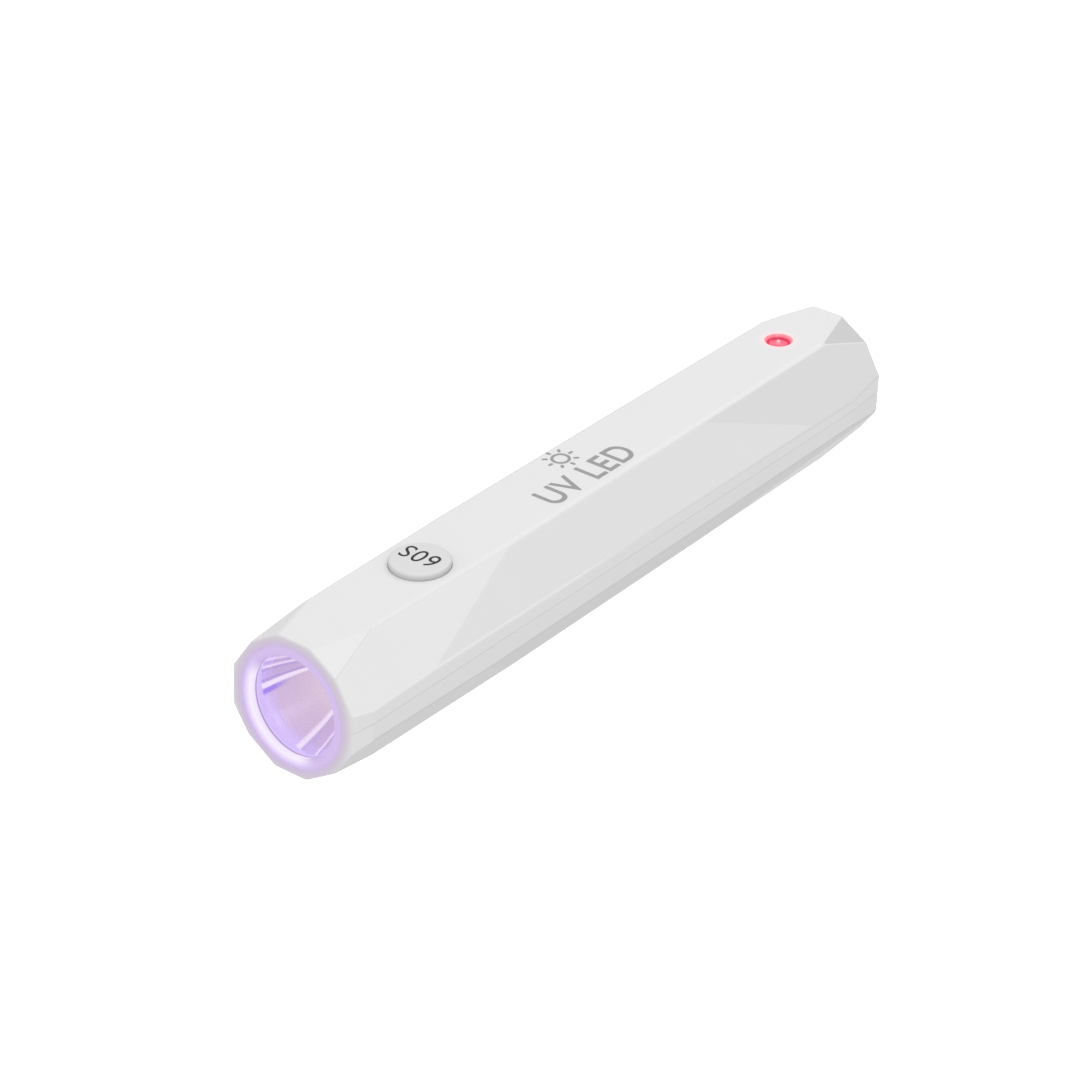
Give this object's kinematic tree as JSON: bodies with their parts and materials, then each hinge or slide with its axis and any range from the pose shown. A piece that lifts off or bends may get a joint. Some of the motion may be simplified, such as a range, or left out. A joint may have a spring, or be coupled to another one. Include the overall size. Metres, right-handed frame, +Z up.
{
  "type": "pen-shaped uv led nail lamp",
  "caption": "Hand-held pen-shaped nail curing lamp: a long faceted body with a lit lens at one end, a round push button, a small red indicator and a charging socket.",
  "frame": {"origin": "middle of the flat underside, on the surface that the lamp rests on", "axes": "+X from the lens end to the charging end, +Y across the body, +Z up out of the button"},
  "size_m": [0.1316, 0.0238, 0.0228],
  "materials": {
    "white_shell": "satin injection-moulded white plastic",
    "frosted_ring": "frosted translucent plastic",
    "clear_lens": "clear polished acrylic",
    "dark_seal": "soft rubber",
    "mirror_cup": "bright metallised plastic",
    "emitter_body": "white ceramic",
    "silicone_dome": "clear silicone over a violet emitter",
    "bare_aluminium": "bare machined aluminium",
    "grey_pad": "soft filled silicone",
    "button_white": "satin moulded plastic",
    "switch_black": "moulded black plastic",
    "green_board": "solder mask on glass fibre",
    "chip_black": "moulded epoxy",
    "ferrite": "pressed ferrite",
    "capacitor_tan": "fired ceramic",
    "red_light": "clear red plastic, lit",
    "steel": "plain plated steel",
    "nickel": "thin nickel strip",
    "cell_wrap": "metal can in a plain shrink sleeve",
    "black_foam": "closed-cell foam",
    "red_wire": "soft insulated copper wire",
    "black_wire": "soft insulated copper wire"
  },
  "bodies": {
    "lamp": {"upper_shell": "white_shell", "lower_shell": "white_shell", "head_ring": "frosted_ring", "lens_seal": "dark_seal", "front_lens": "clear_lens", "reflector": "mirror_cup", "emitter_package": "emitter_body", "emitter_dome": "silicone_dome", "star_board": "bare_aluminium", "thermal_pad": "grey_pad", "heat_sink": "bare_aluminium", "led_lead_red": "red_wire", "led_lead_black": "black_wire", "main_board": "green_board", "switch_body": "switch_black", "controller_chip": "chip_black", "driver_transistor": "chip_black", "driver_inductor": "ferrite", "driver_capacitor": "capacitor_tan", "indicator_lens": "red_light", "indicator_led": "red_light", "charger_chip": "chip_black", "charger_capacitor": "capacitor_tan", "usb_socket_shell": "steel", "usb_socket_tongue": "switch_black", "battery_cell": "cell_wrap", "protection_board": "green_board", "cell_strip": "nickel", "cell_end_pad": "black_foam", "battery_lead_red": "red_wire", "battery_lead_black": "black_wire", "board_screw_front": "steel", "board_screw_rear": "steel"},
    "button": {"button_cap": "button_white"},
    "plunger": {"switch_plunger": "steel"}
  },
  "joints": [
    {"name": "button_press", "type": "slide", "parent": "lamp", "child": "button", "axis": [0, 0, -1], "range_m": [0, 0.0003], "stiffness_N_per_m": 5000},
    {"name": "plunger_press", "type": "slide", "parent": "lamp", "child": "plunger", "axis": [0, 0, -1], "range_m": [0, 0.0003]}
  ],
  "couplings": [
    {"joint": "plunger_press", "follows": "button_press", "ratio": 1}
  ]
}
